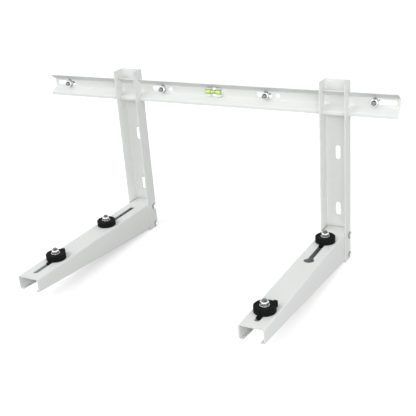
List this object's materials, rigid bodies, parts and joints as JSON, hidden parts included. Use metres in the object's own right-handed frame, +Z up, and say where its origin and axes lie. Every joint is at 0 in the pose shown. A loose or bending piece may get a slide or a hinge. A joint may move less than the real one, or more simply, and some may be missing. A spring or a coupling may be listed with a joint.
{
  "type": "wall bracket for an air conditioner outdoor unit",
  "caption": "Wall bracket for an air conditioner outdoor unit: folded crossbar with a spirit level, channel uprights that slide along it, and tapered arms with rubber pads",
  "frame": {"origin": "middle of the crossbar's length, on the wall plane, at the height of the uprights' feet", "axes": "+X along the crossbar to the right as seen from the front, +Y into the wall, +Z up"},
  "size_m": [0.78, 0.448, 0.357],
  "materials": {
    "powder_coat": "light grey-white powder coat with a faint orange peel, over steel sheet",
    "level_holder": "white moulded plastic",
    "level_vial": "clear acrylic with two marking rings",
    "level_liquid": "yellow-green liquid with one bubble",
    "zinc_bolts": "bright zinc plate, threaded",
    "zinc_nuts": "bright zinc plate",
    "zinc_washers": "bright zinc plate, stamped",
    "pad_rubber": "matt black rubber, moulded"
  },
  "bodies": {
    "rail": {"crossbar": "powder_coat", "level_holder": "level_holder", "level_vial": "level_vial", "level_liquid": "level_liquid", "wall_anchor_bolts": "zinc_bolts", "wall_anchor_clips": "zinc_washers", "wall_washers": "zinc_washers", "wall_nuts": "zinc_nuts"},
    "left_bracket": {"left_upright": "powder_coat", "left_arm": "powder_coat", "left_upper_arm_bolt": "zinc_bolts", "left_upper_arm_nut": "zinc_nuts", "left_lower_arm_bolt": "zinc_bolts", "left_lower_arm_nut": "zinc_nuts", "left_rear_pad": "pad_rubber", "left_front_pad": "pad_rubber", "left_pad_bolts": "zinc_bolts", "left_pad_under_washers": "zinc_washers", "left_pad_washers": "zinc_washers", "left_pad_nuts": "zinc_nuts"},
    "right_bracket": {"right_upright": "powder_coat", "right_arm": "powder_coat", "right_upper_arm_bolt": "zinc_bolts", "right_upper_arm_nut": "zinc_nuts", "right_lower_arm_bolt": "zinc_bolts", "right_lower_arm_nut": "zinc_nuts", "right_rear_pad": "pad_rubber", "right_front_pad": "pad_rubber", "right_pad_bolts": "zinc_bolts", "right_pad_under_washers": "zinc_washers", "right_pad_washers": "zinc_washers", "right_pad_nuts": "zinc_nuts"}
  },
  "joints": [
    {"name": "left_bracket_slide", "type": "slide", "parent": "rail", "child": "left_bracket", "axis": [1, 0, 0], "range_m": [-0.134, 0.04]},
    {"name": "right_bracket_slide", "type": "slide", "parent": "rail", "child": "right_bracket", "axis": [1, 0, 0], "range_m": [-0.11, 0.036]}
  ]
}
